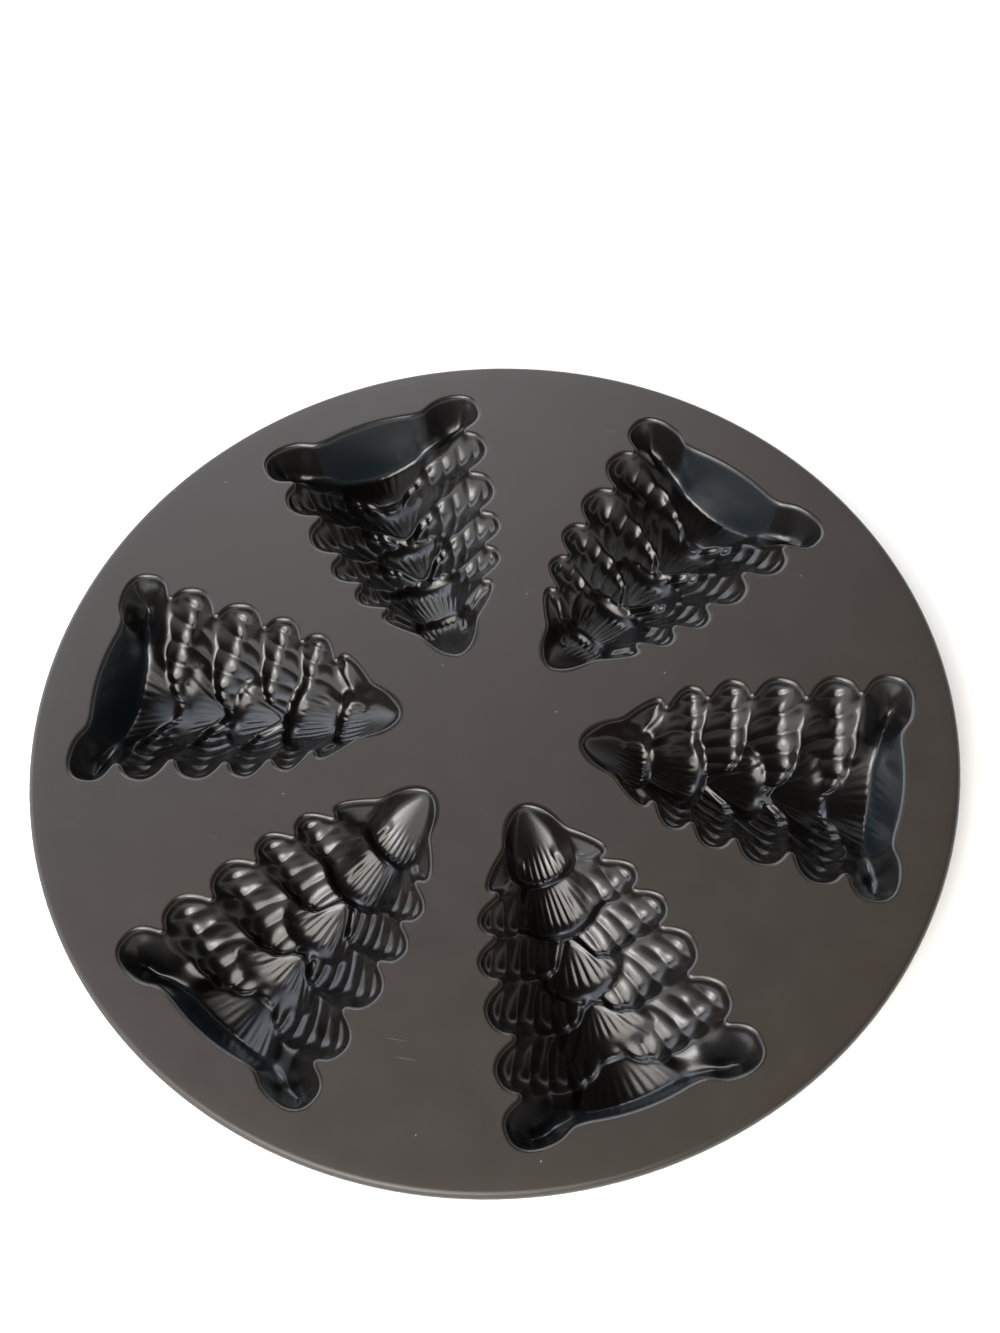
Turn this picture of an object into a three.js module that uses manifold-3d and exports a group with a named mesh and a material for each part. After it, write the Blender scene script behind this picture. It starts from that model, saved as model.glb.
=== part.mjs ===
// Round cast baking pan with six tree-shaped cups, tips towards the middle.
// Millimetres, +Z up, the feet of the cups on z = 0, the pan's centre line on the Z axis and the first cup
// along +X.
import * as THREE from 'three';
import { mergeVertices } from 'three/addons/utils/BufferGeometryUtils.js';
import Module from 'manifold-3d';

// Driving sizes of the pan
const panDiameter = 300;
const plateThickness = 4.4;
const rimWidth = 6; // band of the plate that carries the rounded edge
const rimRound = 1.7; // rounding of the rim's top and bottom corners
const rimFlat = 0.2; // upright band left between those corners, at least
const cupCount = 6;
const clearance = 0.3; // between a cup's flange, the deck and the rim

// Driving sizes of one cup. Along its axis, u runs outwards from the pan's centre and v across it.
const hubRadius = 29; // pan centre to the tree's tip
const baseMargin = 16; // foot of the tree to the outside of the pan
const treeHalfWidth = 40.3; // to the outside of the lip at the base boughs
const cupDepth = 24.5; // deck to the deepest floor, at the foot of the tree
const cupWall = 3.2;
const lipRound = 1.6; // break of the lip round the cavity
const flangeWidth = 2.4; // flat of the cup outside its lip, level with the deck
const endWallSlope = 6; // degrees of draft on the flat wall at the foot of the tree
const endWallSag = 2.5; // how far that wall bows outwards at its middle
const endWallSetback = 1; // how far the wall's middle stands inside the base boughs
const floorRound = 2.5; // easing round the foot's floor and the face that the cup stands on

// Facets
const rimSegments = 64;
const rimCornerSteps = 2;
const boughSteps = 8; // points round the plan of a bough
const capSteps = 12; // points round the plan of the tree's cap
const wallSteps = 4; // along the end wall

const panRadius = panDiameter / 2;
const treeLength = panRadius - baseMargin - hubRadius;
const panHeight = cupDepth + cupWall;
const lidHeight = 2; // how far the cavity's tool stands above the deck
const bodyTop = plateThickness / 2; // depth inside the plate from which the underside's solids start
const weldDistance = 1e-4; // points nearer than this are one point

// Boughs as shares of the tree, to the outside of the lip: at, up and down along its length from the tip,
// out and half across its half-width, depths of the cup's depth. A side bough's depths are at the spine and
// at its end, tilt is its droop in degrees, and swell is how much taller it gets towards the spine. A middle
// bough's depths are at its apex and its hem, and point shapes its top: 2 is round, less is pointed.
const sideBoughs = [
  { at: 0.136, out: 0.225, half: 0.310, up: 0.050, tilt: 50, swell: 0.2, depths: [0.36, 0.20] },
  { at: 0.305, out: 0.335, half: 0.318, up: 0.060, tilt: 12, swell: 0.9, depths: [0.60, 0.28] },
  { at: 0.430, out: 0.372, half: 0.390, up: 0.072, tilt: 8, swell: 0.9, depths: [0.70, 0.32] },
  { at: 0.581, out: 0.409, half: 0.429, up: 0.088, tilt: 7, swell: 0.9, depths: [0.78, 0.36] },
  { at: 0.752, out: 0.459, half: 0.464, up: 0.086, tilt: 7, swell: 0.9, depths: [0.84, 0.40] },
  { at: 0.915, out: 0.640, half: 0.366, up: 0.078, tilt: 9, swell: 0.6, depths: [0.94, 0.50] },
];
const middleBoughs = [
  { at: 0.162, half: 0.270, up: 0.162, down: 0.080, point: 2, depths: [0.20, 0.55], cap: true },
  { at: 0.305, half: 0.320, up: 0.105, down: 0.071, point: 1.6, depths: [0.44, 0.71] },
  { at: 0.500, half: 0.335, up: 0.133, down: 0.071, point: 1.3, depths: [0.60, 0.84] },
  { at: 0.700, half: 0.397, up: 0.143, down: 0.071, point: 1.3, depths: [0.70, 0.92] },
];
// The foot bough runs from its crown, a share of its own width, out to its shoulders and down to the end wall
const footBough = { apex: 0.743, shoulder: 0.867, half: 0.46, crown: 0.33, depths: [0.78, 1.0] };
const lobePower = 2.4; // how square a bough's end is, 2 being an ellipse
const keelShift = 0.3; // how far a bough's keel lies towards its hem, as a share of its lower half

// How a section drops from its edge to its keel: share of the way out, share of the depth
const sideProfile = [[1, 0], [0.84, 0.68], [0.42, 1]];
const capProfile = [[1, 0], [0.6, 1]];
const fanProfile = [[1, 0.72], [0.55, 1]];
const bodyProfile = [[1, 0.38], [0.62, 0.86], [0.08, 1]];
const hollowProfile = [[1, 0.55], [0.5, 1]];
const spineDepthPower = 1 / 3; // how soon the spine gets deep, from the tip to the foot
const spineStart = 0.1; // share of the length where the spine starts
const spineDroop = 0.3; // how far up the spine each point of an outline runs in, as a share of its distance
const boughEndTurns = [130, 50]; // degrees round each side bough between which its end stands free
const notchInset = 1.5; // how far the outline goes in between two boughs
const hollowInset = 7; // how far the hollow behind the boughs keeps inside the notches
const hollowShare = 0.66; // its depth, as a share of the spine's

const wasm = await Module();
wasm.setup();

// A BufferGeometry as a closed solid
function toSolid(geometry) {
  const bare = new THREE.BufferGeometry();
  bare.setAttribute('position', geometry.getAttribute('position'));
  bare.setIndex(geometry.index);
  const merged = mergeVertices(bare, weldDistance);
  return new wasm.Manifold(new wasm.Mesh({
    numProp: 3,
    vertProperties: new Float32Array(merged.getAttribute('position').array),
    triVerts: new Uint32Array(merged.index.array),
  }));
}

// A solid back as a BufferGeometry
function toGeometry(solid) {
  const mesh = solid.getMesh();
  const geometry = new THREE.BufferGeometry();
  geometry.setAttribute('position', new THREE.BufferAttribute(mesh.vertProperties, 3));
  geometry.setIndex(new THREE.BufferAttribute(mesh.triVerts, 1));
  geometry.computeVertexNormals();
  return geometry;
}

// Closed solid through rings of equal count, the first on top, each anticlockwise from above
function ringLoft(rings) {
  const count = rings[0].length;
  const positions = rings.flat().flatMap((point) => [point.x, point.y, point.z]);
  const faces = [];
  for (let ring = 0; ring + 1 < rings.length; ring++) {
    for (let i = 0; i < count; i++) {
      const next = (i + 1) % count;
      const upper = ring * count;
      const lower = upper + count;
      faces.push(lower + i, lower + next, upper + next);
      faces.push(lower + i, upper + next, upper + i);
    }
  }
  const last = (rings.length - 1) * count;
  for (let i = 1; i + 1 < count; i++) {
    faces.push(0, i, i + 1);
    faces.push(last, last + i + 1, last + i);
  }
  const geometry = new THREE.BufferGeometry();
  geometry.setAttribute('position', new THREE.Float32BufferAttribute(positions, 3));
  geometry.setIndex(faces);
  return toSolid(geometry);
}

const alongTree = (share) => hubRadius + share * treeLength;
const { degToRad, lerp, clamp } = THREE.MathUtils;
const origin = new THREE.Vector2();

// Gives each edge point of a plan its outward direction, from its neighbours
function withOutward(edge) {
  return edge.map((point, i) => {
    const before = edge[(i + edge.length - 1) % edge.length].at;
    const after = edge[(i + 1) % edge.length].at;
    const out = new THREE.Vector2(after.y - before.y, before.x - after.x).normalize();
    return { ...point, out };
  });
}

// Point on the oval of a bough, turned from its hem, on the side given by the sign
function ovalPoint(bough, sign, turn) {
  const { at, out = 0, half, up, down = up, tilt = 0, point = lobePower, swell = 0 } = bough;
  const below = Math.cos(turn) > 0;
  const spread = (value) => Math.sign(value) * Math.pow(Math.abs(value), 2 / (below ? lobePower : point));
  const across = spread(Math.sin(turn));
  const taller = 1 + (swell * (1 - sign * across)) / 2;
  const height = treeLength * (below ? down : up * taller) - lipRound;
  const reach = treeHalfWidth * half - lipRound;
  const local = new THREE.Vector2(spread(Math.cos(turn)) * height, across * reach);
  local.rotateAround(origin, -sign * degToRad(tilt));
  return local.add(new THREE.Vector2(alongTree(at), sign * out * treeHalfWidth));
}

// Plan of one bough. Every edge point has the keel point that it falls to. The run goes from 0 to 1, from
// the spine to the end of a side bough, and from the apex to the hem of a middle one.
function boughPlan(bough, sign) {
  const { at, out = 0, half, up, down = up, depths, cap } = bough;
  const keel = new THREE.Vector2(alongTree(at + keelShift * down), sign * out * treeHalfWidth);
  const steps = cap ? capSteps : boughSteps;
  const edge = Array.from({ length: steps }, (_, i) => {
    const turn = (sign * Math.PI) / 2 + (2 * Math.PI * i) / steps;
    return { at: ovalPoint(bough, sign, turn), keel };
  });
  const sideRun = (spot) => (sign * spot.y) / ((out + half) * treeHalfWidth);
  const middleRun = (spot) => (spot.x - alongTree(at - up)) / ((up + down) * treeLength);
  const [run, profile] = out > 0 ? [sideRun, sideProfile] : [middleRun, cap ? capProfile : fanProfile];
  return { plan: withOutward(edge), run, profile, depths };
}

// Ring round a plan: share of the way from keel to edge, grown outwards, at a depth that may vary
function planRing(plan, share, grow, depthAt) {
  return plan.map(({ at, keel, out }) => {
    const spot = keel.clone().lerp(at, share).addScaledVector(out, grow);
    return new THREE.Vector3(spot.x, spot.y, -depthAt(spot));
  });
}

// The top of a cavity's tool: a lid above the deck, then the broken edge of the lip
function lipRings(plan) {
  return [planRing(plan, 1, lipRound, () => -lidHeight), planRing(plan, 1, lipRound, () => 0)];
}

// Cavity of one bough
function scoop({ plan, run, profile, depths }) {
  const floorAt = (spot) => cupDepth * lerp(...depths, run(spot)) - lipRound;
  const floor = profile.map(([share, drop]) => {
    return planRing(plan, share, 0, (spot) => lipRound + floorAt(spot) * drop);
  });
  return ringLoft([...lipRings(plan), ...floor]);
}

const endWallTop = alongTree(1) - lipRound - endWallSetback;

// Plan of the foot bough: from its apex to its shoulders, then to the flat wall across the tree's foot
function footPlan() {
  const half = footBough.half * treeHalfWidth - lipRound;
  const crown = footBough.crown * half;
  const apex = alongTree(footBough.apex);
  const shoulder = alongTree(footBough.shoulder);
  const wall = Array.from({ length: wallSteps + 1 }, (_, i) => {
    const share = (2 * i) / wallSteps - 1;
    return [endWallTop - endWallSag * share * share, share * half];
  });
  const rest = [[shoulder, half], [apex, crown], [apex, -crown], [shoulder, -half]];
  const keel = new THREE.Vector2(shoulder, 0);
  return withOutward([...wall, ...rest].map(([u, v]) => ({ at: new THREE.Vector2(u, v), keel })));
}

// Cavity of the foot bough: steep walls to a floor that falls towards the end wall
function footScoop(plan) {
  const draft = Math.tan(degToRad(endWallSlope));
  const apex = alongTree(footBough.apex);
  const floorAt = (spot) => {
    return cupDepth * lerp(...footBough.depths, clamp((spot.x - apex) / (endWallTop - apex), 0, 1));
  };
  return ringLoft([
    ...lipRings(plan),
    planRing(plan, 1, 0, () => lipRound),
    planRing(plan, 1, -draft * (cupDepth - floorRound), (spot) => floorAt(spot) - floorRound),
    planRing(plan, 1, -draft * cupDepth - floorRound, floorAt),
  ]);
}

// Foot of the cup's outside: a wall thicker than the foot bough, with a flat face to stand on
function footBlock(plan) {
  return ringLoft([
    planRing(plan, 1, cupWall, () => bodyTop),
    planRing(plan, 1, cupWall, () => plateThickness),
    planRing(plan, 1, cupWall - floorRound / 2, () => panHeight - floorRound),
    planRing(plan, 1, cupWall - 2 * floorRound, () => panHeight),
  ]);
}

// Where the end of each side bough starts and stops, and the notches between them, on one side of the tree
const boughEnds = sideBoughs.map((bough) => {
  return boughEndTurns.map((turn) => ovalPoint(bough, 1, degToRad(turn)));
});
const notches = boughEnds.slice(1).map(([upper], i) => {
  const notch = boughEnds[i][1].clone().add(upper).divideScalar(2);
  notch.y -= notchInset;
  return notch;
});

// Loft from an outline round the tree in to its spine, deepening from the tip to the foot
function spineLoft({ half, grow, top, profile, depthAt }) {
  const tip = ovalPoint(middleBoughs[0], 1, Math.PI);
  const outline = [tip, ...half.map((at) => new THREE.Vector2(at.x, -at.y)), ...half.toReversed()];
  const plan = withOutward(outline.map((at) => {
    const spineU = at.x - spineDroop * Math.abs(at.y);
    const keelU = clamp(spineU, alongTree(spineStart), alongTree(footBough.apex));
    return { at, keel: new THREE.Vector2(keelU, 0) };
  }));
  const edge = plan.map((point) => ({ ...point, at: point.at.clone().addScaledVector(point.out, grow) }));
  const spineDepth = (spot) => {
    const run = Math.max((spot.x - hubRadius) / treeLength, spineStart);
    return cupDepth * Math.pow(run, spineDepthPower);
  };
  const rings = profile.map(([share, part]) => {
    return planRing(edge, share, 0, (spot) => depthAt(spineDepth(spot), part));
  });
  return ringLoft([planRing(edge, 1, 0, () => top), ...rings]);
}

// Underside of the cup above its foot, lobed like the boughs
function bodyShell() {
  return spineLoft({
    half: boughEnds.flatMap((ends, i) => [...ends, ...notches.slice(i, i + 1)]),
    grow: cupWall,
    top: bodyTop,
    profile: bodyProfile,
    depthAt: (depth, part) => plateThickness + (depth + cupWall - plateThickness) * part,
  });
}

// Hollow behind the boughs, within the notches, which sets how high the crests between them stand
function hollow() {
  const base = sideBoughs.at(-1);
  return spineLoft({
    half: [...notches, new THREE.Vector2(alongTree(base.at), base.out * treeHalfWidth)],
    grow: -hollowInset,
    top: -lidHeight,
    profile: hollowProfile,
    depthAt: (depth, part) => hollowShare * depth * part,
  });
}

const foot = footPlan();
const boughs = [
  ...sideBoughs.flatMap((bough) => [boughPlan(bough, 1), boughPlan(bough, -1)]),
  ...middleBoughs.map((bough) => boughPlan(bough, 1)),
];

// Convex outline round the boughs of a tree, moved out from the lip by a given width all round
function seatOutline(width) {
  const edges = [...boughs.map(({ plan }) => plan), foot].flat();
  const hull = convexHull(edges.map(({ at, out }) => at.clone().addScaledVector(out, lipRound)));
  return hull.map((at, i) => {
    const into = at.clone().sub(hull.at(i - 1)).normalize();
    const onward = hull[(i + 1) % hull.length].clone().sub(at).normalize();
    const across = new THREE.Vector2(into.y + onward.y, -into.x - onward.x);
    return at.clone().addScaledVector(across, width / (1 + into.dot(onward)));
  });
}

// Convex hull of plan points, anticlockwise
function convexHull(points) {
  const sorted = [...points].sort((a, b) => a.x - b.x || a.y - b.y);
  const chain = (list) => {
    const kept = [];
    for (const point of list) {
      while (kept.length > 1 && turnOf(kept.at(-2), kept.at(-1), point) <= 0) {
        kept.pop();
      }
      kept.push(point);
    }
    return kept.slice(0, -1);
  };
  return [...chain(sorted), ...chain(sorted.reverse())];
}

// Twice the signed area of a triangle, positive where it turns left
function turnOf(a, b, c) {
  return (b.x - a.x) * (c.y - a.y) - (b.y - a.y) * (c.x - a.x);
}

// A flat outline made into a plate, its top level with the deck
function plate(outline) {
  const settings = { depth: plateThickness, bevelEnabled: false };
  return new THREE.ExtrudeGeometry(outline, settings).translate(0, 0, -plateThickness);
}

// One cup: its flange, underside and foot, hollowed by the cavities of its boughs
function cupGeometry() {
  const cavity = boughs.reduce((joined, bough) => joined.add(scoop(bough)), footScoop(foot).add(hollow()));
  const flange = toSolid(plate(new THREE.Shape(seatOutline(flangeWidth))));
  return toGeometry(flange.add(bodyShell()).add(footBlock(foot)).subtract(cavity));
}

const cupAngle = (i) => (2 * Math.PI * i) / cupCount;

// Deck: the round plate with a seat cut through it for each cup
function deckGeometry() {
  const reach = new THREE.Vector2(panRadius - rimWidth - clearance, 0);
  const outline = new THREE.Shape(Array.from({ length: rimSegments }, (_, i) => {
    return reach.clone().rotateAround(origin, (2 * Math.PI * i) / rimSegments);
  }));
  for (let i = 0; i < cupCount; i++) {
    const seat = seatOutline(flangeWidth + clearance);
    outline.holes.push(new THREE.Path(seat.map((at) => at.rotateAround(origin, cupAngle(i)))));
  }
  return plate(outline);
}

// Rim: a ring whose outer corners are rounded
function rimGeometry() {
  const round = Math.min(rimRound, (plateThickness - rimFlat) / 2);
  const inner = panRadius - rimWidth;
  const corner = (level, from) => Array.from({ length: rimCornerSteps + 1 }, (_, i) => {
    const turn = from + (Math.PI * i) / (2 * rimCornerSteps);
    return new THREE.Vector2(panRadius - round + round * Math.cos(turn), level + round * Math.sin(turn));
  });
  const profile = [
    new THREE.Vector2(inner, -plateThickness),
    ...corner(round - plateThickness, -Math.PI / 2),
    ...corner(-round, 0),
    new THREE.Vector2(inner, 0),
    new THREE.Vector2(inner, -plateThickness),
  ];
  return new THREE.LatheGeometry(profile, rimSegments).rotateX(Math.PI / 2);
}

const deckCoating = { color: 0x3b3937, roughness: 0.42, metalness: 0.55 };
const cupCoating = { color: 0x2c2b2b, roughness: 0.28, metalness: 0.55 };

// Adds one named piece to a group
function addPiece(group, name, geometry, finish) {
  const mesh = new THREE.Mesh(geometry, new THREE.MeshStandardMaterial(finish));
  mesh.name = name;
  group.add(mesh);
  return mesh;
}

const pan = new THREE.Group();
const atDeckHeight = new THREE.Group();
atDeckHeight.position.z = panHeight;
pan.add(atDeckHeight);
addPiece(atDeckHeight, 'deck_plate', deckGeometry(), deckCoating);
addPiece(atDeckHeight, 'rim_edge', rimGeometry(), deckCoating);
const cup = cupGeometry();
for (let i = 0; i < cupCount; i++) {
  addPiece(atDeckHeight, `tree_cup_${i + 1}`, cup, cupCoating).rotation.z = cupAngle(i);
}

export default pan;
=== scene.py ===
# Cast aluminium cakelet pan: a round deck with six tree cups under a dark nonstick coat.
# Sizes are millimetres until a mesh is made. u runs outwards from the pan's middle, v across a tree.
import math

import bpy
import numpy as np
from mathutils import Matrix, Vector
from mathutils.geometry import delaunay_2d_cdt


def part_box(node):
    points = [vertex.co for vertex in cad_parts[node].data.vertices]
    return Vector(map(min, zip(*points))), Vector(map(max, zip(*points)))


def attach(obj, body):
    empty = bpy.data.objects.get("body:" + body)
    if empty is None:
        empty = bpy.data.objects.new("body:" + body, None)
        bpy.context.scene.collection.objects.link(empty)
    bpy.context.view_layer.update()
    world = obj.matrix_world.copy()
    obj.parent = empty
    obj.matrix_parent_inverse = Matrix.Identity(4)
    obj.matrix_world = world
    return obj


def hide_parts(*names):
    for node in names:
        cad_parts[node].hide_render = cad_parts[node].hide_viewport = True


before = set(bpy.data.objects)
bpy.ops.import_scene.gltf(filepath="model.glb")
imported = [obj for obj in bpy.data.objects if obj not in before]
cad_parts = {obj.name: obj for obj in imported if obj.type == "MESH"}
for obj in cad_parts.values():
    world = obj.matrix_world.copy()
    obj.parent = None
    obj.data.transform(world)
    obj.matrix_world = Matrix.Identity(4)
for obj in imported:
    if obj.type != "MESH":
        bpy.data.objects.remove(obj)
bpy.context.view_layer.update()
mm = 0.001
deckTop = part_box("deck_plate")[1].z / mm
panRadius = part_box("rim_edge")[1].x / mm
print(f"frame loaded: {len(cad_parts)} nodes, pan {2 * panRadius:.1f} mm across, deck at {deckTop:.1f} mm")


# materials
def linear(hexColour):
    parts = [int(hexColour[k:k + 2], 16) / 255 for k in (1, 3, 5)]
    return [p / 12.92 if p <= 0.04045 else ((p + 0.055) / 1.055) ** 2.4 for p in parts] + [1.0]


def addNode(tree, kind, settings=None, links=None):
    node = tree.nodes.new(kind)
    for key, value in (settings or {}).items():
        if isinstance(key, str) and hasattr(node, key):
            setattr(node, key, value)
        else:
            node.inputs[key].default_value = value
    for key, source in (links or {}).items():
        tree.links.new(source, node.inputs[key])
    return node


def addNoise(tree, place, scale, detail):
    return addNode(tree, "ShaderNodeTexNoise", {"Scale": scale, "Detail": detail}, {"Vector": place}).outputs["Fac"]


def mapRange(tree, value, span, result):
    settings = {"From Min": span[0], "From Max": span[1], "To Min": result[0], "To Max": result[1]}
    return addNode(tree, "ShaderNodeMapRange", settings, {"Value": value}).outputs[0]


def mixColours(tree, factor, first, second):
    # a colour is a hex value or another node's output
    node = addNode(tree, "ShaderNodeMix", {"data_type": "RGBA"}, {"Factor": factor})
    for socket, colour in ((node.inputs[6], first), (node.inputs[7], second)):
        if isinstance(colour, str):
            socket.default_value = linear(colour)
        else:
            tree.links.new(colour, socket)
    return node.outputs[2]


coat = {
    "deckDark": "#231d18", "deckLight": "#26201a",
    # painted shade: the cavity coat is drawn darker than the deck, partly for its glossier finish and partly as
    # painted shade
    "cavityCoatAndShadeDark": "#040201", "cavityCoatAndShadeLight": "#070504",
    "endWallSheen": "#0d161c",  # painted cool reflection on the flat end walls
    "mottle": 14.0, "mottleDetail": 3.0,  # mm, soft clouds from spraying
    "mottleSpan": (0.3, 0.7),  # where most of the clouds' values lie
    "grain": 0.9, "grainDetail": 2.0,  # mm, orange peel of the cured coat, really about 0.3 and drawn coarser to show
    "grainHeight": 0.06, "grainStrength": 0.2,  # mm
    "deckRoughness": 0.44, "roughnessSpread": 0.02,  # the clouds move it this far each way
    "cavityRoughness": 0.24, "polishedBy": 0.12,  # share of the way into a cavity by which it is as smooth as this
    "speck": "#8f8b85", "speckGap": 11.0, "speckSize": 0.3,  # mm, pale dust burnt into the coat
    "speckCore": 0.6, "speckStrength": 0.6,  # full inside this share of its size
    "speckLeftOut": 0.55,  # share of the places that have none
    "scratch": "#5a5753", "scratchLength": 16.0, "scratchWidth": 0.9,  # mm, hairlines from a knife, drawn wider
    "scratchTurn": 0.5, "scratchSpan": (0.87, 0.9), "scratchStrength": 0.35,  # only the noise's highest values show
    "ior": 1.5,
}


# Sprayed and baked nonstick coat on cast aluminium: satin on the flat deck with soft clouds and a fine grain,
# smoother in the polished cavities, and there painted darker, partly for the glossier coat and partly as painted
# shade.
def nonstickCoat(name, hasCavityShade):
    material = bpy.data.materials.new(name)
    material.use_nodes = True
    tree = material.node_tree
    shader = tree.nodes["Principled BSDF"]
    place = addNode(tree, "ShaderNodeTexCoord").outputs["Object"]
    clouds = addNoise(tree, place, 1 / (coat["mottle"] * mm), coat["mottleDetail"])
    grain = addNoise(tree, place, 1 / (coat["grain"] * mm), coat["grainDetail"])
    colour = mixColours(tree, clouds, coat["deckDark"], coat["deckLight"])

    cells = addNode(tree, "ShaderNodeTexVoronoi", {"Scale": 1 / (coat["speckGap"] * mm)}, {"Vector": place})
    size = coat["speckSize"] / coat["speckGap"]
    dot = mapRange(tree, cells.outputs["Distance"], (coat["speckCore"] * size, size), (coat["speckStrength"], 0.0))
    chosen = addNode(tree, "ShaderNodeMath", {"operation": "GREATER_THAN", 1: coat["speckLeftOut"]},
                     {0: cells.outputs["Color"]})
    dust = addNode(tree, "ShaderNodeMath", {"operation": "MULTIPLY"}, {0: dot, 1: chosen.outputs[0]})
    colour = mixColours(tree, dust.outputs[0], colour, coat["speck"])

    stretch = (1 / (coat["scratchLength"] * mm), 1 / (coat["scratchWidth"] * mm), 1.0)
    strokes = addNode(tree, "ShaderNodeMapping", {"Rotation": (0.0, 0.0, coat["scratchTurn"]), "Scale": stretch},
                      {"Vector": place})
    streak = addNoise(tree, strokes.outputs[0], 1.0, 0.0)
    hair = mapRange(tree, streak, coat["scratchSpan"], (0.0, coat["scratchStrength"]))
    colour = mixColours(tree, hair, colour, coat["scratch"])

    middle, spread = coat["deckRoughness"], coat["roughnessSpread"]
    gloss = mapRange(tree, clouds, coat["mottleSpan"], (middle - spread, middle + spread))
    if hasCavityShade:
        # the cavity attribute makes the coat smooth and carries painted shade, darker further into the cup
        inside = addNode(tree, "ShaderNodeAttribute", {"attribute_name": "cavity"}).outputs["Fac"]
        endSheen = addNode(tree, "ShaderNodeAttribute", {"attribute_name": "end_wall_sheen"}).outputs["Fac"]
        # painted shade: the cavity colour, mixed in by the cavity attribute
        dark = mixColours(tree, clouds, coat["cavityCoatAndShadeDark"], coat["cavityCoatAndShadeLight"])
        # painted reflection: the flat end walls take a cool tone in place of the sheen of light on them
        dark = mixColours(tree, endSheen, dark, coat["endWallSheen"])
        colour = mixColours(tree, inside, colour, dark)
        polished = mapRange(tree, inside, (0.0, coat["polishedBy"]), (0.0, 1.0))
        smooth = addNode(tree, "ShaderNodeMix", {"data_type": "FLOAT", "B": coat["cavityRoughness"]},
                         {"Factor": polished, "A": gloss})
        gloss = smooth.outputs[0]
    bump = addNode(tree, "ShaderNodeBump", {"Strength": coat["grainStrength"], "Distance": coat["grainHeight"] * mm},
                   {"Height": grain})
    tree.links.new(colour, shader.inputs["Base Color"])
    tree.links.new(gloss, shader.inputs["Roughness"])
    tree.links.new(bump.outputs["Normal"], shader.inputs["Normal"])
    shader.inputs["IOR"].default_value = coat["ior"]
    return material


deckCoat = nonstickCoat("nonstick_coat_satin", False)
# the cavity material carries painted shade and a painted cool reflection on the end walls
cupCoatWithShade = nonstickCoat("nonstick_coat_cavity_shaded", True)
print("materials ready")


# one cup
cup = {
    "count": 6,
    "tip": 29.0,
    "foot": 133.0,  # outside of the lip in the middle of the end wall
    "footRadius": 72.0,  # bow of the end wall
    "depth": 24.5,
    "wall": 3.2,
    "lipRound": 1.9,  # convex break between the deck and the cavity
    "lipOut": 0.3,  # how far that break starts outside the outline
    "rows": 340, "columns": 260,
    "startU": 25.0, "startHalf": 14.0, "endHalf": 47.0, "endRadius": 141.5,  # the patch of deck that a cup carries
    "patchPower": 0.75,  # how soon the patch gets wide
}
# boughs down each side: middle (v, u), half length and height, droop in degrees; inset of the hem from the lip at the
# end and below; inner end as a share of the half length; and where there are any, the width of a bead, extra depth,
# and the fan, counted from 0, whose arch the bough stops at
sideBoughs = [
    {"mid": (11.3, 46.5), "half": (11.0, 3.5), "droop": 42,
     "inset": (0.3, 0.6), "inner": -0.55},
    {"mid": (13.5, 61.3), "half": (12.8, 6.3), "droop": 12,
     "inset": (0.4, 1.4), "inner": -0.6, "bead": 4.6},
    {"mid": (17.2, 74.8), "half": (13.5, 7.2), "droop": 8,
     "inset": (0.4, 1.0), "inner": -1.3, "bead": 5.0, "arch": 2},
    {"mid": (18.7, 90.5), "half": (15.1, 9.2), "droop": 7,
     "inset": (0.4, 1.2), "inner": -1.3, "bead": 5.6, "arch": 3},
    {"mid": (20.6, 108.2), "half": (16.6, 9.3), "droop": 7,
     "inset": (0.4, 1.4), "inner": -1.3, "bead": 6.0, "arch": 4},
    {"mid": (20.0, 122.8), "half": (19.0, 8.2), "droop": 9,
     "inset": (1.5, 1.0), "inner": 0.1, "sink": -4},
    {"mid": (30.0, 125.9), "half": (10.3, 8.1), "droop": 0,
     "inset": (1.5, 1.0), "inner": -1.5, "sink": 2.5},
]
# fans down the middle: apex and hem along the tree and half width at the hem; power of the arch; flutes and where
# they start; fall to the hem and where it curls back; depth of a flute as a share of its width; and on some, the
# height of a border under the arch
middleFans = [
    {"apex": 30.0, "hem": 52.6, "half": 10.6, "point": 0.62, "flutes": 9, "start": 0.42,
     "step": 1.8, "turn": 0.86, "groove": 0.16},
    {"apex": 46.0, "hem": 69.8, "half": 13.0, "point": 0.6, "flutes": 10, "start": 0.25,
     "step": 2.4, "turn": 0.72, "groove": 0.18},
    {"apex": 70.0, "hem": 90.2, "half": 13.0, "point": 0.66, "flutes": 7, "start": 0.2,
     "step": 2.6, "turn": 0.66, "groove": 0.14, "band": 0.6},
    {"apex": 90.7, "hem": 110.8, "half": 16.6, "point": 0.68, "flutes": 9, "start": 0.1,
     "step": 1.7, "turn": 0.5, "groove": 0.11, "band": 0.5},
    {"apex": 109.0, "hem": 136.0, "half": 21.0, "point": 0.5, "flutes": 9, "start": 0.1,
     "step": 0.2, "turn": 0.45, "groove": 0.065},
]


def smoothMin(a, b, reach):
    near = np.clip(1 - np.abs(a - b) / reach, 0, 1)
    return np.minimum(a, b) - near ** 2 * reach / 4


def flute(phase):
    # depth across one channel: 0 on the ridges beside it, 1 in its middle
    return 1 - (2 * (phase - np.floor(phase)) - 1) ** 2


def fade(value, low, high):
    t = np.clip((value - low) / (high - low), 0, 1)
    return t * t * (3 - 2 * t)


outline = {
    "coreWidth": 3.05, "coreInset": 1.5,  # half width behind the boughs: root of the way from the tip, less an inset
    "capMid": 46.0, "capHalf": (10.9, 17.0), "capPower": 2.0,  # oval of the cap
    "ovalPower": 2.4,  # how square the end of a bough is, 2 being an ellipse
    "notchFillet": 1.4,
    "traceV": (0, 46), "traceU": (26, 137), "traceStep": 0.2,  # the grid on which the outline is traced
    "block": 64,  # points of it that are looked at together
}


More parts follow.
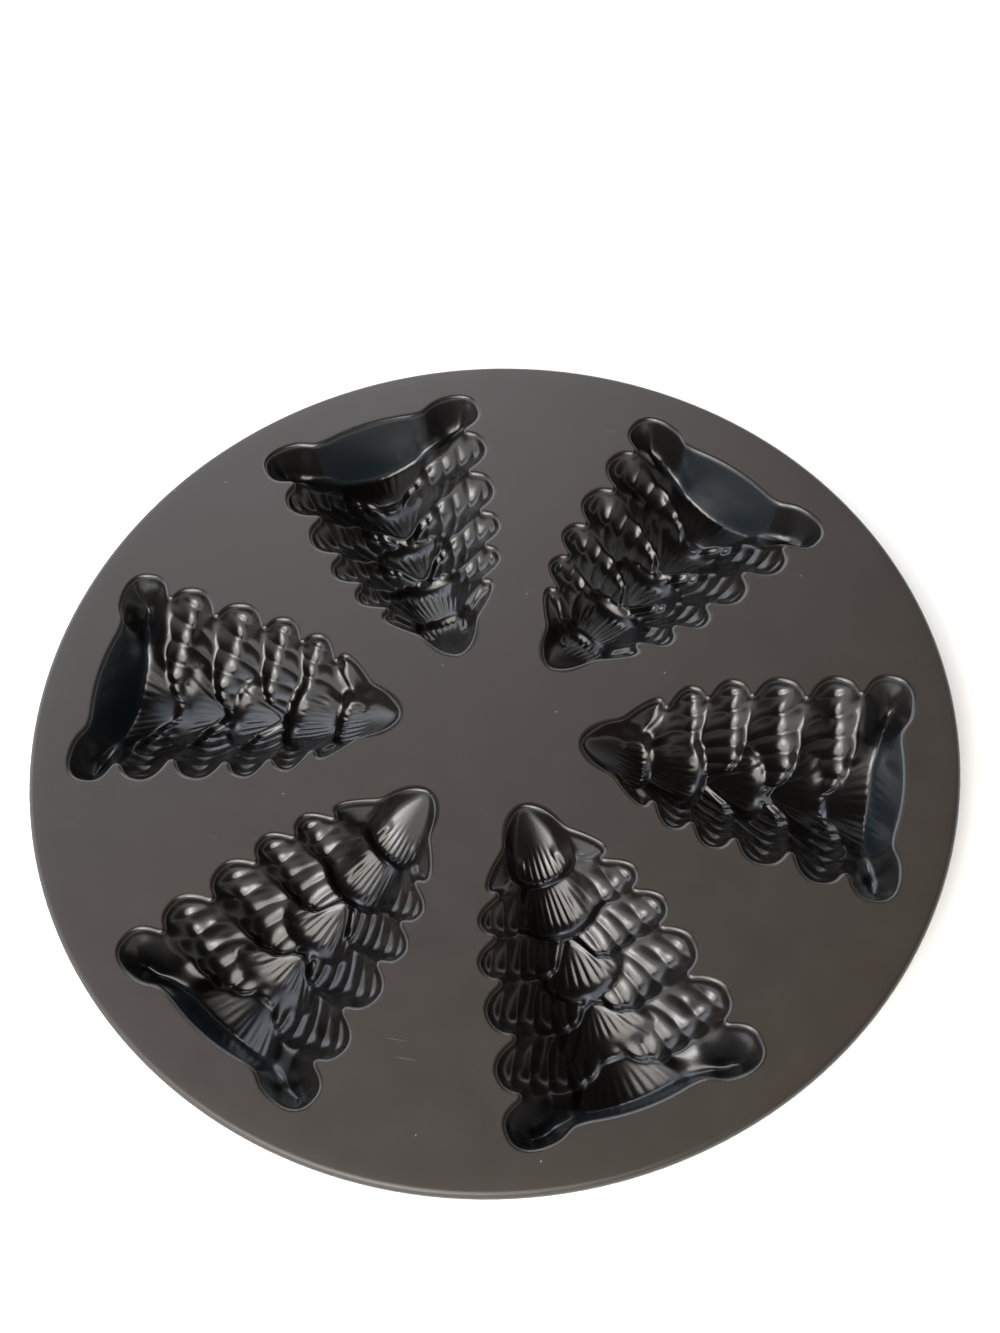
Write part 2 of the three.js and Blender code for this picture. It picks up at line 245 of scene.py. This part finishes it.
def boughAxes(bough, side, u):
    turn = math.radians(bough["droop"])
    dv, du = side - bough["mid"][0], u - bough["mid"][1]
    return dv * math.cos(turn) + du * math.sin(turn), du * math.cos(turn) - dv * math.sin(turn)


def ovalShape(x, y, a, b, power):
    # share of the way out to an oval, and about how far outside it a point lies
    px, py = np.abs(x / a), np.abs(y / b)
    f = np.maximum((px ** power + py ** power) ** (1 / power), 1e-6)
    slope = np.hypot(px ** (power - 1) / a, py ** (power - 1) / b) * f ** (1 - power)
    return f, (f - 1) / np.maximum(slope, 0.02)


def outlineDistance(side, u):
    along = np.maximum(u - cup["tip"], 0)
    foot = cup["foot"] - side ** 2 / (2 * cup["footRadius"])
    core = outline["coreWidth"] * np.sqrt(along) - outline["coreInset"]
    edge = np.maximum(side - core, u - foot)
    cap = ovalShape(side, u - outline["capMid"], *outline["capHalf"], outline["capPower"])[1]
    edge = smoothMin(edge, cap, outline["notchFillet"])
    for bough in sideBoughs:
        x, y = boughAxes(bough, side, u)
        lobe = ovalShape(x, y, *bough["half"], outline["ovalPower"])[1]
        edge = smoothMin(edge, lobe, outline["notchFillet"])
    return edge


def outlineInside(side, u):
    # true distance in from the outline and how far the nearest stretch of it lies towards the foot
    step = outline["traceStep"]
    fineV, fineU = np.meshgrid(np.arange(*outline["traceV"], step), np.arange(*outline["traceU"], step))
    e = outlineDistance(fineV, fineU) - cup["lipOut"]
    spots = []
    for e0, e1, across in ((e[:, :-1], e[:, 1:], True), (e[:-1], e[1:], False)):
        cross = (e0 < 0) != (e1 < 0)
        share = (e0 / np.where(e0 == e1, 1, e0 - e1))[cross]
        if across:
            spots.append(np.stack([fineV[:, :-1][cross] + step * share, fineU[:, :-1][cross]], -1))
        else:
            spots.append(np.stack([fineV[:-1][cross], fineU[:-1][cross] + step * share], -1))
    spots = np.concatenate(spots)
    grid = np.stack([side.ravel(), u.ravel()], -1)
    best = np.full(len(grid), np.inf)
    which = np.zeros(len(grid), int)
    for start in range(0, len(spots), outline["block"]):
        part = spots[start:start + outline["block"]]
        d = (grid[:, :1] - part[:, 0]) ** 2 + (grid[:, 1:] - part[:, 1]) ** 2
        k = d.argmin(1)
        near = d[np.arange(len(grid)), k]
        better = near < best
        best[better] = near[better]
        which[better] = start + k[better]
    reach = np.sqrt(best)
    facing = (spots[which, 1] - grid[:, 1]) / np.maximum(reach, 1e-3)
    inside = np.where(outlineDistance(side, u).ravel() - cup["lipOut"] < 0, reach, 0)
    return inside.reshape(side.shape), facing.reshape(side.shape)


envelope = {
    "spare": 1.5,  # depth of the cup that the spine itself doesn't use
    "length": 105, "power": 0.36,  # where the spine is deepest, and how soon it gets deep
    "tipDepth": 1.2, "tipSlope": 0.6, "tipRound": 2,  # its start at the tip
    "half": 41.5, "halfAt": 97, "halfPower": 0.43,  # half width of the tree, reached at this length
    "flat": 11,  # about how far from the middle the spine stays flat
    "fall": 0.82, "least": 0.16,  # share of the depth that is lost at the ends of the boughs, and left at least
}


def treeEnvelope(side, u):
    # the run of the tree: deep and flat along the spine, shallow at the ends of the boughs
    along = np.maximum(u - cup["tip"], 0.01)
    deep = (cup["depth"] - envelope["spare"]) * (along / envelope["length"]) ** envelope["power"]
    spine = smoothMin(deep, envelope["tipDepth"] + envelope["tipSlope"] * along, envelope["tipRound"])
    reach = envelope["half"] * (along / envelope["halfAt"]) ** envelope["halfPower"]
    flat = envelope["flat"]
    away = (np.hypot(side, flat) - flat) / (np.hypot(reach, flat) - flat)
    return spine * np.clip(1 - envelope["fall"] * away, envelope["least"], 1)


pocket = {
    "step": 3.3,  # how far each bough's hem stands below the run of the tree, and its top above it
    "above": -0.6,  # where over its top a bough stops rising, as a share of its height
    "roll": 1.3, "rollFrom": 0.7,  # how far a bough curls back before its hem, and from where
    "hemSlope": 2.6,  # rise of the step under a hem
    "archRound": 3,  # rounding where a bough stops at a fan
    "bowlMiddle": 0.5, "bowlCurve": 2.0, "bowlLeast": -1.5,  # the round outer end, in steps
    "bowlFrom": (-0.6, 0.3), "sinkFrom": (-1, 0.2),  # where along a bough these come in, as shares of the half length
    "beadDepth": 0.12, "beadLevel": 0.6,  # depth as a share of its own width, and the level that it swings about
    "beadLean": 0.55, "beadBend": 0.03,  # how the beads slant across a bough and bend
    "beadFrom": (-1, -0.5),  # where down a bough they come in, as shares of the half height
    "scallop": 0.1,  # how far a bead moves the hem, as a share of its width
}


def sawDepth(share, step, turn):
    # runs deeper towards the hem and curls back before it
    curl = np.clip((share - turn) / (1 - turn), 0, 1) ** 2
    return step * (2 * np.clip(share, pocket["above"], 1) - 1) - pocket["roll"] * curl


def archBend(fan, side):
    return (side / fan["half"]) ** (1 / fan["point"] - 1) * (fan["hem"] - fan["apex"]) / fan["half"]


def boughLeaf(bough, side, u):
    a, b = bough["half"]
    x, y = boughAxes(bough, side, u)
    hemA, hemB = a - bough["inset"][0], b - bough["inset"][1]
    past = ovalShape(np.maximum(x, 1e-6), np.maximum(y, 1e-6), hemA, hemB, outline["ovalPower"])[1]
    past = np.maximum(past, bough["inner"] * a - x)
    if "arch" in bough:
        fan = middleFans[bough["arch"]]
        bend = archBend(fan, side)
        under = (u - fan["apex"] - bend * side) / np.hypot(1, bend / fan["point"])
        past = -smoothMin(-past, -under, pocket["archRound"])
    relief = np.zeros_like(side)
    if "bead" in bough:
        row = np.clip(y, -b, b)
        channels = flute((x - pocket["beadLean"] * row + pocket["beadBend"] * row ** 2) / bough["bead"])
        start, full = pocket["beadFrom"]
        relief = pocket["beadDepth"] * bough["bead"] * (channels - pocket["beadLevel"]) * fade(y, start * b, full * b)
        past = past - pocket["scallop"] * bough["bead"] * (channels - 0.5)
    bowl = pocket["bowlMiddle"] - pocket["bowlCurve"] * (y / b) ** 2
    bowl = pocket["step"] * np.clip(bowl, pocket["bowlLeast"], 1)
    run = sawDepth((y + b) / (b + hemB), pocket["step"], pocket["rollFrom"])
    sunk, hollow = [fade(x, low * a, high * a) for low, high in (pocket["sinkFrom"], pocket["bowlFrom"])]
    run = bough.get("sink", 0) * sunk + run + (bowl - run) * hollow
    return treeEnvelope(side, u) + run - pocket["hemSlope"] * np.maximum(past, 0), relief


fanForm = {
    "skirt": 0.55,  # part of the length, up from the hem, over which the sides round in
    "wideBy": 0.7,  # part of the length, down from the apex, by which a fan is as wide as its hem
    "widest": 1.2,  # how far down the flutes go on spreading, in lengths
    "corner": 2.6,  # how square the lower corners are, 2 being an ellipse
    "level": 0.6,  # the level that the flutes swing about
    "fadeIn": 0.3, "fadeOut": 0.2,  # shares of the length over which the flutes come in and die out
    "edge": (0.8, 1.0),  # and where they die out on the way to the edge
    "bandAt": (1.4, 2.8),  # mm inside the arch, where its border steps down
    "sink": 0.8,  # a fan lies this much below the run of the tree
    "cuff": 1.2, "cuffPower": 6,  # rise close to the edge
}


def fanLeaf(fan, v, u):
    length = fan["hem"] - fan["apex"]
    t = (u - fan["apex"]) / length
    width = fan["half"] * np.clip(t, 1e-3, fanForm["widest"]) ** fan["point"]
    spread = 2 * width / fan["flutes"]
    channels = flute(v / spread + 0.5 * (fan["flutes"] % 2))
    mid = fan["hem"] - fanForm["skirt"] * length
    low = np.maximum(u - mid, 0) / (fan["hem"] - mid)
    limit = fan["half"] * np.clip(t / fanForm["wideBy"], 1e-3, 1) ** fan["point"]
    power = fanForm["corner"]
    q = (np.abs(v / limit) ** power + low ** power) ** (1 / power)
    relief = fan["groove"] * spread * (channels - fanForm["level"])
    relief = relief * fade(t, fan["start"], fan["start"] + fanForm["fadeIn"])
    relief = relief * (1 - fade(q, *fanForm["edge"])) * (1 - fade(t, fan["turn"], fan["turn"] + fanForm["fadeOut"]))
    if "band" in fan:
        bend = archBend(fan, np.abs(v))
        inner = (u - fan["apex"] - bend * np.abs(v)) / np.hypot(1, bend / fan["point"])
        relief = relief + fan["band"] * (fade(inner, *fanForm["bandAt"]) - 0.5)
    cuff = fanForm["cuff"] * np.clip(q, 0, 1) ** fanForm["cuffPower"]
    run = fanForm["sink"] + sawDepth(t, fan["step"], fan["turn"]) - cuff
    depth = treeEnvelope(np.abs(v), u) + run - pocket["hemSlope"] * limit * np.maximum(q - 1, 0)
    return np.where(t > 0, depth, 0), relief


def blurred(field, passes):
    for _ in range(passes):
        for axis in (0, 1):
            ends = np.concatenate([field.take([0], axis), field, field.take([-1], axis)], axis)
            count = field.shape[axis]
            field = (ends.take(range(count), axis) + 2 * field + ends.take(range(2, count + 2), axis)) / 4
    return field


cavity = {
    "bed": 3.5,  # how far the bare floor lies above the run of the tree
    "crest": 1.2,  # rounding of the crest between two boughs
    "floorSpare": 0.6, "floorRound": 1.5,  # the floor is rounded off this far above the full depth
    "wallSlopes": [1.1, 1.4, 1.4],  # rise of the cavity's side where it faces the foot, across, and the tip
    "endWall": 1.8, "capWall": 2.4,  # more rise for the end wall and beside the cap
    "fillet": 4.0,  # between wall and floor
    "capFillet": -1.0, "endFillet": -2.4,  # less of it for the cap's sides and the end wall
    "lobeFillet": 5.0,  # and more in the corner lobes
    "trough": 60, "troughFrom": (2, 5),  # passes that take the creases out of the walls where two meet
    "corner": 30,  # passes that calm the floor between the foot's fan and the corner lobes
    "soften": 7, "softenFrom": (1.4, 3.4),  # passes that take the creases out of the cast floor
    "ridgesFrom": (1.2, 3.6),  # the beads and flutes come in this far from the lip
    "grind": 2,  # passes over the floor before it meets the walls, and over all of it at the end
}
# where those apply: each range runs from nothing to all of it
zones = {
    "capU": (44, 53), "capV": (8, 11),
    "footU": (124, 128), "footFacing": (0.6, 0.95),
    "lobeU": (113, 119), "lobeV": (21, 26),
    "cornerU": (116, 121), "cornerV": (14, 18), "cornerOut": (30, 34), "cornerFloor": (-2, 2),
}


def cupDepth(v, u):
    side = np.abs(v)
    inside, facing = outlineInside(side, u)
    floor = np.maximum(treeEnvelope(side, u) - cavity["bed"], 0)
    ridges = np.zeros_like(u)
    crest = cavity["crest"]
    for leaf, relief in [boughLeaf(b, side, u) for b in sideBoughs] + [fanLeaf(f, v, u) for f in middleFans]:
        share = np.clip(0.5 + (leaf - floor) / (2 * crest), 0, 1)
        ridges = ridges + (relief - ridges) * share
        floor = -smoothMin(-floor, -leaf, crest)
    floor = blurred(smoothMin(floor, cup["depth"] - cavity["floorSpare"], cavity["floorRound"]), cavity["grind"])

    lip = cup["lipRound"]
    nearCap = (1 - fade(u, *zones["capU"])) * (1 - fade(side, *zones["capV"]))
    atFoot = fade(u + facing * inside, *zones["footU"]) * fade(facing, *zones["footFacing"])
    inLobe = fade(side, *zones["lobeV"]) * fade(u, *zones["lobeU"])
    steep = np.interp(facing, [-1, 0, 1], cavity["wallSlopes"])
    steep = steep + cavity["endWall"] * atFoot + cavity["capWall"] * nearCap
    rounded = lip - np.sqrt(np.maximum(lip ** 2 - inside ** 2, 0))
    wall = np.where(inside < lip, rounded, lip + (inside - lip) * steep)
    calm = blurred(wall, cavity["trough"]) - wall
    wall = wall + calm * fade(inside, *cavity["troughFrom"]) * (1 - atFoot)

    fillet = cavity["fillet"] + cavity["capFillet"] * nearCap
    fillet = fillet + cavity["endFillet"] * atFoot * (1 - inLobe) + cavity["lobeFillet"] * inLobe
    depth = smoothMin(wall, floor, fillet)
    corner = fade(side, *zones["cornerV"]) * (1 - fade(side, *zones["cornerOut"])) * fade(u, *zones["cornerU"])
    corner = corner * fade(wall - floor, *zones["cornerFloor"])
    depth = depth + (blurred(depth, cavity["corner"]) - depth) * corner
    depth = depth + (blurred(depth, cavity["soften"]) - depth) * fade(inside, *cavity["softenFrom"])
    depth = depth + ridges * fade(inside, *cavity["ridgesFrom"])
    depth = np.where(inside <= 0, 0, np.clip(depth, 0, cup["depth"]))
    return blurred(depth, cavity["grind"]), inside


def patchGrid(rows, columns):
    s, t = np.meshgrid(np.linspace(0, 1, rows + 1), np.linspace(-1, 1, columns + 1), indexing="ij")
    v = t * (cup["startHalf"] + (cup["endHalf"] - cup["startHalf"]) * s ** cup["patchPower"])
    u = cup["startU"] + s * (np.sqrt(cup["endRadius"] ** 2 - v ** 2) - cup["startU"])
    return v, u


def borderOf(index):
    return np.concatenate([index[0, :-1], index[:-1, -1], index[-1, :0:-1], index[:0:-1, 0]])


def gridFaces(index, flip):
    quads = np.stack([index[:-1, :-1], index[1:, :-1], index[1:, 1:], index[:-1, 1:]], -1).reshape(-1, 4)
    return (quads[:, ::-1] if flip else quads).tolist()


def widened(field, steps):
    for _ in range(steps):
        grown = field.copy()
        grown[1:] = np.maximum(grown[1:], field[:-1])
        grown[:-1] = np.maximum(grown[:-1], field[1:])
        grown[:, 1:] = np.maximum(grown[:, 1:], field[:, :-1])
        grown[:, :-1] = np.maximum(grown[:, :-1], field[:, 1:])
        field = grown
    return field


deck = {"thickness": 4.4, "seam": 143.85, "rimSteps": 192}
underside = {
    "step": 4,  # rows and columns of the top for each one of the underside
    "soften": 6, "widen": 2, "round": 3,  # passes: before it is thinned out, outwards for the wall, and after that
    "wallFrom": (0, 3),  # the wall is added where the cavity is this deep
    "grow": 1.13,  # it grows by this, and is cut flat where the pan stands
    "flatRound": 0.8,  # easing round that flat
}
coatShadeAndSheen = {
    "darkBy": 0.6,  # share of the lip's rounding by which the coat turns dark
    "wallCoatAndShade": 0.8, "floorShade": 0.2, "floorShadeFrom": (4, 10),  # painted shade: how dark at the lip, partly for the glossier coat, and how much more painted shade further in
    "flatFrom": (-9, -7.5),  # the painted cool reflection of the flat end wall runs from here, measured from its lip, up to the lip
    "flatHalf": 20.0, "flatBlend": 0.5,  # and this far to each side
    "lobeLoss": 0.75,  # share of that painted reflection that the corner lobes beside it don't have
}


def cupCoatShadeAndSheen(v, u, inside):
    flatV = coatShadeAndSheen["flatHalf"]
    # painted cool reflection: mask of the flat end wall, less on the corner lobes
    endSheen = fade(u - cup["foot"] + v ** 2 / (2 * cup["footRadius"]), *coatShadeAndSheen["flatFrom"])
    beside = fade(np.abs(v), flatV - coatShadeAndSheen["flatBlend"], flatV + coatShadeAndSheen["flatBlend"])
    endSheen = endSheen * (1 - coatShadeAndSheen["lobeLoss"] * beside)
    # painted shade: darker at the lip, and more on the floors deep inside the cup
    deep = coatShadeAndSheen["wallCoatAndShade"] + coatShadeAndSheen["floorShade"] * fade(inside, *coatShadeAndSheen["floorShadeFrom"])
    return {"cavity": fade(inside, 0, coatShadeAndSheen["darkBy"] * cup["lipRound"]) * deep, "end_wall_sheen": endSheen}


def cupShape():
    v, u = patchGrid(cup["rows"], cup["columns"])
    depth, inside = cupDepth(v, u)
    step = underside["step"]
    lowV, lowU = v[::step, ::step], u[::step, ::step]
    low = blurred(depth, underside["soften"])[::step, ::step]
    low = blurred(widened(low, underside["widen"]), underside["round"])
    low = (low + cup["wall"] * fade(low, *underside["wallFrom"])) * underside["grow"]
    low = np.clip(smoothMin(low, deckTop, underside["flatRound"]), deck["thickness"], deckTop)
    low[[0, -1]] = deck["thickness"]
    low[:, [0, -1]] = deck["thickness"]
    top = np.stack([u, v, deckTop - depth], -1).reshape(-1, 3)
    bottom = np.stack([lowU, lowV, deckTop - low], -1).reshape(-1, 3)
    topIndex = np.arange(u.size).reshape(u.shape)
    lowIndex = np.arange(lowU.size).reshape(lowU.shape) + u.size
    faces = gridFaces(topIndex, False) + gridFaces(lowIndex, True)
    topEdge, lowEdge = borderOf(topIndex), borderOf(lowIndex)
    for k in range(len(lowEdge)):
        upper = [topEdge[(k * step + j) % len(topEdge)] for j in range(step + 1)]
        faces.append([int(i) for i in upper] + [int(lowEdge[(k + 1) % len(lowEdge)]), int(lowEdge[k])])
    below = np.zeros(lowU.size)
    # painted shade and the painted end-wall reflection go onto the cup as attributes
    shadeAndSheen = {mark: np.concatenate([field.ravel(), below]) for mark, field in cupCoatShadeAndSheen(v, u, inside).items()}
    return np.concatenate([top, bottom]), faces, shadeAndSheen, top[topEdge][:, :2]


def turned(points, angle):
    c, s = math.cos(angle), math.sin(angle)
    out = np.array(points, float)
    out[:, 0], out[:, 1] = points[:, 0] * c - points[:, 1] * s, points[:, 0] * s + points[:, 1] * c
    return out


sharpFrom = math.radians(75)  # edges that turn by more than this stay sharp


def addPiece(name, points, faces, material, smooth=True):
    mesh = bpy.data.meshes.new(name)
    mesh.from_pydata((np.asarray(points) * mm).tolist(), [], faces)
    mesh.materials.append(material)
    mesh.polygons.foreach_set("use_smooth", [smooth] * len(mesh.polygons))
    mesh.set_sharp_from_angle(angle=sharpFrom)
    mesh.update()
    piece = bpy.data.objects.new(name, mesh)
    bpy.context.scene.collection.objects.link(piece)
    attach(piece, "root")
    return piece


points, faces, shadeAndSheen, border = cupShape()
borders = []
for k in range(cup["count"]):
    angle = k * 2 * math.pi / cup["count"]
    piece = addPiece(f"cast_cup_{k + 1}", turned(points, angle), faces, cupCoatWithShade)
    for mark, values in shadeAndSheen.items():
        piece.data.attributes.new(mark, "FLOAT", "POINT").data.foreach_set("value", values)
    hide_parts(f"tree_cup_{k + 1}")
    borders.append(turned(border, angle)[::-1])
print(f"cups: {len(faces)} faces each, deepest {deckTop - points[:, 2].min():.1f} mm below the deck")

# the flat deck between the cups and the rim
rimTurns = np.arange(deck["rimSteps"]) * 2 * math.pi / deck["rimSteps"]


def deckShape():
    loops = [np.stack([deck["seam"] * np.cos(rimTurns), deck["seam"] * np.sin(rimTurns)], -1)] + borders
    flat, rings, start = [], [], 0
    for loop in loops:
        flat += [Vector(p) for p in loop]
        rings.append(list(range(start, start + len(loop))))
        start += len(loop)
    insideRings, weld = 1, 1e-5
    spots, _, tris, _, _, owners = delaunay_2d_cdt(flat, [], rings, insideRings, weld)
    keep = [list(tri) for tri, own in zip(tris, owners) if own == [0]]  # inside the outer loop and in no cup
    count = len(spots)
    up = np.array([[p.x, p.y, deckTop] for p in spots])
    down = up - [0, 0, deck["thickness"]]
    faces = keep + [[i + count for i in tri[::-1]] for tri in keep]
    edges = [pair for tri in keep for pair in zip(tri, tri[1:] + tri[:1])]
    known = set(edges)
    faces += [[b, a, a + count, b + count] for a, b in edges if (b, a) not in known]
    return np.concatenate([up, down]), faces


points, faces = deckShape()
piece = addPiece("flat_deck", points, faces, deckCoat, smooth=False)
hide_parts("deck_plate")
print(f"deck: {len(faces)} faces")

# the rounded band round the outside
rim = {"round": 1.9, "steps": 8}


def rimShape():
    r, low = rim["round"], deckTop - deck["thickness"]
    bends = np.linspace(0, math.pi / 2, rim["steps"] + 1)
    profile = [(deck["seam"], deckTop)]
    profile += [(panRadius - r + r * math.sin(a), deckTop - r + r * math.cos(a)) for a in bends]
    profile += [(panRadius - r + r * math.cos(a), low + r - r * math.sin(a)) for a in bends]
    profile += [(deck["seam"], low)]
    out, level = np.array(profile).T[:, :, None]
    level = np.broadcast_to(level, (len(profile), len(rimTurns)))
    points = np.stack([out * np.cos(rimTurns), out * np.sin(rimTurns), level], -1).reshape(-1, 3)
    index = np.arange(len(points)).reshape(len(profile), len(rimTurns))
    index = np.concatenate([index, index[:, :1]], 1)
    index = np.concatenate([index, index[:1]], 0)
    return points, gridFaces(index, False)


points, faces = rimShape()
piece = addPiece("rolled_rim", points, faces, deckCoat)
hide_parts("rim_edge")
print(f"rim: {len(faces)} faces")

# studio
studio = {
    "floor": "#f4f4f2", "floorRoughness": 0.9,
    "floorSize": 3.6,  # metres; past it the pale sweep goes on
    "camera": (65.6, -248.2, 506.2),
    "roll": -4.9,
    "lens": 45.3, "sensor": 36,
    "shift": (0.0075, 0.0461),
    "sky": "#f2f2f3", "skyLow": 2.6, "skyHigh": 0.06,  # a pale sweep round the pan and a dimmer ceiling
    "skyLean": (0.35, 0, 1), "skySpan": (0.15, 0.7),  # the sweep stands higher on the left than on the right
    "softboxes": [
        {"name": "over_camera", "at": (-0.4, -1.3, 1.7), "size": 2.2, "power": 93, "colour": "#fff8f0"},
        {"name": "beside_camera", "at": (-0.35, -1.6, 1.25), "size": 0.7, "power": 15, "colour": "#f2f8ff"},
        {"name": "left_side", "at": (-1.9, 1.0, 1.35), "size": 2.6, "power": 30, "colour": "#d2e2fa"},
        {"name": "behind", "at": (-0.6, 2.0, 2.05), "size": 1.0, "power": 16, "colour": "#eef2ff"},
    ],
}

floorMesh = bpy.data.meshes.new("studio_floor")
reach = studio["floorSize"] / 2
corners = [(-reach, -reach, 0), (reach, -reach, 0), (reach, reach, 0), (-reach, reach, 0)]
floorMesh.from_pydata(corners, [], [(0, 1, 2, 3)])
floor = bpy.data.objects.new("studio_floor", floorMesh)
bpy.context.scene.collection.objects.link(floor)
paper = bpy.data.materials.new("matt_paper_floor")  # a plain pale ground that only shows the pan's soft shadow
paper.use_nodes = True
paperShader = paper.node_tree.nodes["Principled BSDF"]
paperShader.inputs["Base Color"].default_value = linear(studio["floor"])
paperShader.inputs["Roughness"].default_value = studio["floorRoughness"]
floorMesh.materials.append(paper)

for box in studio["softboxes"]:
    lamp = bpy.data.lights.new(box["name"], "AREA")
    lamp.shape = "DISK"
    lamp.size = box["size"]
    lamp.energy = box["power"]
    lamp.color = linear(box["colour"])[:3]
    holder = bpy.data.objects.new(box["name"], lamp)
    holder.location = box["at"]
    holder.rotation_euler = (-Vector(box["at"])).to_track_quat("-Z", "Y").to_euler()
    bpy.context.scene.collection.objects.link(holder)

world = bpy.data.worlds.new("studio")
world.use_nodes = True
skyTree = world.node_tree
sky = skyTree.nodes["Background"]
sky.inputs["Color"].default_value = linear(studio["sky"])
way = addNode(skyTree, "ShaderNodeTexCoord").outputs["Generated"]
height = addNode(skyTree, "ShaderNodeVectorMath", {"operation": "DOT_PRODUCT", 1: studio["skyLean"]}, {0: way})
glow = mapRange(skyTree, height.outputs["Value"], studio["skySpan"], (studio["skyLow"], studio["skyHigh"]))
skyTree.links.new(glow, sky.inputs["Strength"])
bpy.context.scene.world = world

lens = bpy.data.cameras.new("camera")
lens.lens = studio["lens"]
lens.sensor_width = studio["sensor"]
lens.shift_x, lens.shift_y = studio["shift"]
camera = bpy.data.objects.new("camera", lens)
eye = Vector(studio["camera"]) * mm
look = (Vector((0, 0, deckTop * mm)) - eye).to_track_quat("-Z", "Y").to_matrix().to_4x4()
camera.matrix_world = Matrix.Translation(eye) @ look @ Matrix.Rotation(math.radians(studio["roll"]), 4, "Z")
bpy.context.scene.collection.objects.link(camera)
bpy.context.scene.camera = camera
bpy.context.scene.view_settings.view_transform = "Standard"  # the colours as they are lit, with no film curve
print("studio ready")
